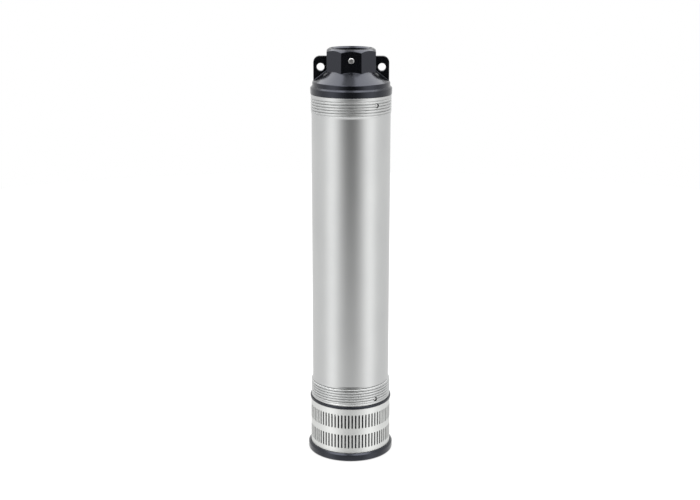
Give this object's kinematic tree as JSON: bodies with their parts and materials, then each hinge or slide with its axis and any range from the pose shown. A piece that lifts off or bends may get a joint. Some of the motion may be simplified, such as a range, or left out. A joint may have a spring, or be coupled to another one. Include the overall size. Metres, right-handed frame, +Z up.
{
  "type": "borehole submersible pump",
  "caption": "Borehole submersible pump: slotted suction strainer at the foot, stainless threaded shell, moulded head with lifting lugs, octagonal threaded port and check valve.",
  "frame": {"origin": "centre of the foot's underside, on the pump's axis", "axes": "+Z up along the pump's axis, -Y the front with the port's lock screw, the lifting lugs along X"},
  "size_m": [0.0984, 0.0984, 0.4689],
  "materials": {
    "brushed_steel": "satin stainless tube",
    "slotted_steel": "pale matt stainless sheet",
    "bright_steel": "machined",
    "dark_steel": "varnished laminations",
    "cast_iron": "as cast",
    "black_plastic": "satin moulding",
    "moulded_grey": "moulded",
    "moulded_white": "moulded",
    "rubber": "moulded",
    "ceramic": "lapped",
    "copper": "enamelled copper wire, bound and varnished"
  },
  "bodies": {
    "housing": {"foot": "black_plastic", "strainer": "slotted_steel", "suction_base": "black_plastic", "outer_shell": "brushed_steel", "discharge_head": "black_plastic", "tie_screw_1": "bright_steel", "tie_screw_2": "bright_steel", "tie_screw_3": "bright_steel", "shell_lock_screw_lower": "bright_steel", "shell_lock_screw_upper": "bright_steel", "port_lock_screw": "bright_steel", "base_o_ring": "rubber", "head_o_ring": "rubber", "cable_gland_nut": "black_plastic", "cable_grommet": "rubber", "valve_guide": "moulded_white", "valve_spring": "bright_steel", "snap_ring": "bright_steel", "stage_bowl_1": "moulded_grey", "stage_bowl_2": "moulded_grey", "stage_bowl_3": "moulded_grey", "diffuser_1": "moulded_white", "diffuser_2": "moulded_white", "diffuser_3": "moulded_white", "seal_seat": "ceramic", "lower_bearing_outer_ring": "bright_steel", "upper_bearing_outer_ring": "bright_steel", "lower_motor_bracket": "cast_iron", "upper_motor_bracket": "cast_iron", "motor_can": "brushed_steel", "stator_core": "dark_steel", "lower_winding": "copper", "upper_winding": "copper", "capacitor": "moulded_white", "motor_cap": "moulded_grey", "motor_lead_gland": "moulded_grey"},
    "rotor": {"shaft": "bright_steel", "rotor_core": "dark_steel", "impeller_1": "moulded_white", "impeller_2": "moulded_white", "impeller_3": "moulded_white", "spacer_sleeve_1": "bright_steel", "spacer_sleeve_2": "bright_steel", "impeller_nut": "bright_steel", "seal_head": "rubber", "lower_bearing_inner_ring": "bright_steel", "upper_bearing_inner_ring": "bright_steel"},
    "valve": {"valve_poppet": "moulded_white", "valve_seal": "rubber"}
  },
  "joints": [
    {"name": "shaft_spin", "type": "hinge", "parent": "housing", "child": "rotor", "pos_m": [0, 0, 0], "axis": [0, 0, 1], "continuous": true},
    {"name": "valve_lift", "type": "slide", "parent": "housing", "child": "valve", "axis": [0, 0, 1], "range_m": [0, 0.007], "stiffness_N_per_m": 250, "springref_m": -0.006, "deforming": ["valve_spring"]}
  ]
}
